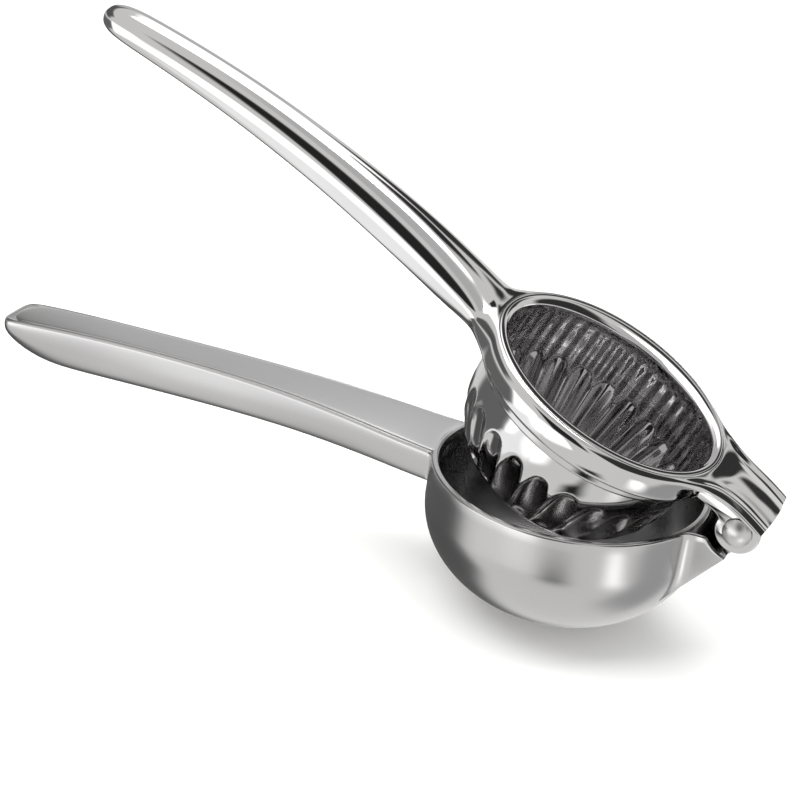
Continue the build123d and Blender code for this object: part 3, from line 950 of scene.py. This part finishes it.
def headProfile(startRadius):
    # half section of a head from near its top to the lug: radius, distance from the pin's middle
    seat = hingeSizes["lugOuter"]
    radius, edge = rivetSizes["headRadius"], rivetSizes["edgeRound"]
    foot, top = seat + rivetSizes["headFoot"], seat + rivetSizes["headTop"]
    rise = top - foot - edge
    ball = (radius ** 2 + rise ** 2) / (2 * rise)
    line = []
    for k in range(rivetSizes["domeSteps"] + 1):
        r = mix(startRadius, radius, math.sin(math.pi / 2 * k / rivetSizes["domeSteps"]))
        line.append((r, top - ball + math.sqrt(ball ** 2 - r ** 2)))
    line += arcPoints((radius - edge, foot + edge), edge, 0, -90, rivetSizes["edgeSteps"])[1:]
    neck, small = rivetSizes["neckRadius"], rivetSizes["neckRound"]
    return line + [(neck + small, foot), (neck, foot - small), (neck, seat)]


def turnedPiece(name, profile, side, ringShaped):
    # the profile turned about the pin; a ring is closed on itself and a pin is closed at its ends
    columns = rivetSizes["columns"]
    points = []
    for radius, reach in profile:
        points += [(x, side * reach, z) for x, z in circlePoints((pinX, pinZ), radius, columns)]
    rows = len(profile)
    faces = gridFaces(rows, columns)
    last = (rows - 1) * columns
    if ringShaped:
        faces += [(last + k, last + (k + 1) % columns, (k + 1) % columns, k) for k in range(columns)]
    else:
        faces.append(tuple(range(columns)))
        faces.append(tuple(range(last, last + columns)))
    return makePiece(
        name, points, faces, "upper_arm", sharpAngle=hingeSizes["sharpAngle"],
        material=steels["turnedStainless"],
    )


def buildRivet():
    seat, pin, tail = hingeSizes["lugOuter"], rivetSizes["pinRadius"], rivetSizes["tailRadius"]
    end, tailRound = -seat - rivetSizes["tailReach"], rivetSizes["tailRound"]
    shank = [(pin, seat), (pin, -seat), (tail, -seat), (tail, end + tailRound), (tail - tailRound, end)]
    profile = headProfile(rivetSizes["topRadius"]) + shank
    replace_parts(turnedPiece("rivetPin", profile, -1, False), "hinge_rivet")
    bore = tail + rivetSizes["boreGap"]
    profile = headProfile(bore) + [(bore, seat)]
    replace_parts(turnedPiece("rivetCap", profile, 1, True), "rivet_cap")


buildBracket()
buildLugs()
buildRivet()
print("hinge built")


# the camera's place in millimetres, its three axes, its lens and sensor, and how far it sees in metres
cameraView = dict(
    place=(135.65, -524.82, 309.17), right=(0.91040, 0.39240, 0.13112),
    up=(-0.27911, 0.34858, 0.89476), back=(0.30540, -0.85118, 0.42687), lens=99.0, sensor=36.0,
    sight=20.0,
)


def makeCamera():
    data = bpy.data.cameras.new("studioCamera")
    data.lens = cameraView["lens"]
    data.sensor_width = cameraView["sensor"]
    data.clip_end = cameraView["sight"]
    camera = addObject("studioCamera", data)
    turn = Matrix((cameraView["right"], cameraView["up"], cameraView["back"])).transposed()
    camera.matrix_world = Matrix.Translation(Vector(cameraView["place"]) * mm) @ turn.to_4x4()
    bpy.context.scene.camera = camera


makeCamera()


# The studio has a pale floor, a pale surround, soft lights and a few dark cards that only the steel sees.
# Its sizes and distances are in metres, except underFloor, which is in millimetres like the floor cards.
studio = dict(
    floorSize=5.0, floorCells=8, paper="#FAFAF9", paperRoughness=0.9, surround="#FBFBFA",
    surroundStrength=1.0, cardDistance=1.4, lightDistance=1.3, underFloor=1.0,
)
# Each card hangs in one direction round the object and faces it: azimuth (0 is toward -Y, 90 toward +X),
# elevation, width and height in degrees, glow (the surround is 1), and the shares of its width and
# height that fade out.
cards = {
    "flagOverCamera": (6, 30, 44, 54, 0.03, 0.25, 0.35),
    "flagLeftLow": (-114, -42, 86, 58, 0.12, 0.4, 0.5),
    "flagLeftLevel": (-88, -8, 64, 30, 0.2, 0.4, 0.5),
    "flagLeftHigh": (-105, 30, 84, 44, 0.15, 0.4, 0.4),
    "flagRightHigh": (92, 34, 84, 44, 0.05, 0.3, 0.3),
    "flagBehindRight": (157, 17, 18, 28, 0.05, 0.5, 0.5),
    "flagBehind": (177, 22, 20, 30, 0.05, 0.4, 0.4),
    "greyBehindLeft": (-155, 22, 34, 30, 0.68, 0.4, 0.4),
    "greyRightLow": (104, -38, 50, 70, 0.5, 0.5, 0.6),
    "softFront": (-45, -8, 36, 36, 2.3, 0.35, 0.35),
    "softFrontLow": (-16, -11, 30, 32, 2.2, 0.3, 0.3),
    "softRight": (130, -14, 22, 42, 1.9, 0.4, 0.4),
    "softTop": (168, 71, 44, 28, 8.0, 0.35, 0.35),
    "flagOverCover": (163, 45, 20, 18, 0.04, 0.4, 0.4),
    "greyOverhead": (86, 74, 44, 44, 0.72, 0.5, 0.5),
    "softBackLeft": (-172, 50, 30, 30, 2.2, 0.3, 0.3),
}
# The same kind of card lying just under the floor, near enough for only the parts above it to see it:
# azimuth, distance from the bowl's axis, width, depth, glow and the two fades.
floorCards = {
    "flagByBowl": (15, 86, 46, 36, 0.03, 0.9, 0.7),
    "softByBowl": (53, 96, 34, 70, 2.6, 1.0, 1.0),
    "softByHandles": (-50, 222, 150, 230, 1.45, 0.5, 0.4),
}
# azimuth, elevation, size and power of the lights that fall on the floor
softLights = {
    "keyLeft": (-60, 60, 1.0, 9.0),
    "topRear": (150, 72, 1.0, 9.0),
}


def direction(azimuth, elevation):
    a, e = math.radians(azimuth), math.radians(elevation)
    return Vector((math.sin(a) * math.cos(e), -math.cos(a) * math.cos(e), math.sin(e)))


def makeCardMaterial(name, glow, fades):
    # flat glow that fades to clear near the card's edges
    material = bpy.data.materials.new(name)
    material.use_nodes = True
    tree = material.node_tree
    tree.nodes.remove(tree.nodes["Principled BSDF"])
    place = addNode(tree, "ShaderNodeTexCoord")
    parts = addNode(tree, "ShaderNodeSeparateXYZ", links={0: place.outputs["Generated"]})
    masks = []
    for axis, fade in enumerate(fades):
        middle = {"operation": "SUBTRACT", 1: 0.5}
        offset = addNode(tree, "ShaderNodeMath", middle, {0: parts.outputs[axis]})
        distance = addNode(tree, "ShaderNodeMath", {"operation": "ABSOLUTE"}, {0: offset.outputs[0]})
        masks.append(addNode(
            tree, "ShaderNodeMapRange",
            {"interpolation_type": "SMOOTHSTEP", "From Min": 0.5, "From Max": 0.5 - fade / 2},
            {"Value": distance.outputs[0]},
        ))
    mask = addNode(
        tree, "ShaderNodeMath", {"operation": "MULTIPLY"},
        {0: masks[0].outputs["Result"], 1: masks[1].outputs["Result"]},
    )
    glowNode = addNode(tree, "ShaderNodeEmission", {"Strength": glow})
    clear = addNode(tree, "ShaderNodeBsdfTransparent")
    mixed = addNode(
        tree, "ShaderNodeMixShader", links={0: mask.outputs[0], 1: clear.outputs[0], 2: glowNode.outputs[0]}
    )
    tree.links.new(mixed.outputs[0], tree.nodes["Material Output"].inputs["Surface"])
    return material


def makeCard(name, centre, away, halfWidth, halfHeight, glow, fades):
    mesh = bpy.data.meshes.new(name)
    corners = [(x * halfWidth, y * halfHeight, 0) for x, y in ((-1, -1), (1, -1), (1, 1), (-1, 1))]
    mesh.from_pydata(corners, [], [(0, 1, 2, 3)])
    mesh.materials.append(makeCardMaterial(name, glow, fades))
    card = addObject(name, mesh)
    card.rotation_euler = away
    card.location = centre
    card.visible_camera = False
    card.visible_diffuse = False
    card.visible_shadow = False


def makeCards(target):
    reach = studio["cardDistance"]
    for name, (azimuth, elevation, width, height, glow, *fades) in cards.items():
        away = direction(azimuth, elevation)
        turn = away.to_track_quat("Z", "Y").to_euler()
        half = [reach * math.tan(math.radians(angle / 2)) for angle in (width, height)]
        makeCard(name, target + away * reach, turn, *half, glow, fades)
    for name, (azimuth, distance, width, depth, glow, *fades) in floorCards.items():
        place = direction(azimuth, 0) * distance * mm
        place.z = -studio["underFloor"] * mm
        turn = Euler((0, 0, math.radians(azimuth)))
        makeCard(name, place, turn, width / 2 * mm, depth / 2 * mm, glow, fades)


def makeStage():
    paper = bpy.data.materials.new("mattPaper")
    paper.use_nodes = True
    sheet = paper.node_tree.nodes["Principled BSDF"]
    sheet.inputs["Base Color"].default_value = linearColour(studio["paper"])
    sheet.inputs["Roughness"].default_value = studio["paperRoughness"]
    mesh = bpy.data.meshes.new("floor")
    half, cells = studio["floorSize"] / 2, studio["floorCells"]
    corners = [
        (mix(-half, half, i / cells), mix(-half, half, j / cells), 0.0)
        for j in range(cells + 1) for i in range(cells + 1)
    ]
    mesh.from_pydata(corners, [], gridFaces(cells + 1, cells + 1, False))
    mesh.materials.append(paper)
    floor = addObject("floor", mesh)
    floor.visible_glossy = False

    world = bpy.data.worlds.new("paleSurround")
    world.use_nodes = True
    background = world.node_tree.nodes["Background"]
    background.inputs["Color"].default_value = linearColour(studio["surround"])
    background.inputs["Strength"].default_value = studio["surroundStrength"]
    bpy.context.scene.world = world
    bpy.context.scene.view_settings.view_transform = "Standard"

    target = Vector((0, 0, rimZ)) * mm
    makeCards(target)
    for name, (azimuth, elevation, size, power) in softLights.items():
        data = bpy.data.lights.new(name, "AREA")
        data.shape = "SQUARE"
        data.size = size
        data.energy = power
        light = addObject(name, data)
        away = direction(azimuth, elevation)
        light.location = target + away * studio["lightDistance"]
        light.rotation_euler = away.to_track_quat("Z", "Y").to_euler()
        light.visible_camera = False
        light.visible_glossy = False


makeStage()
print("stage, lights and camera set")
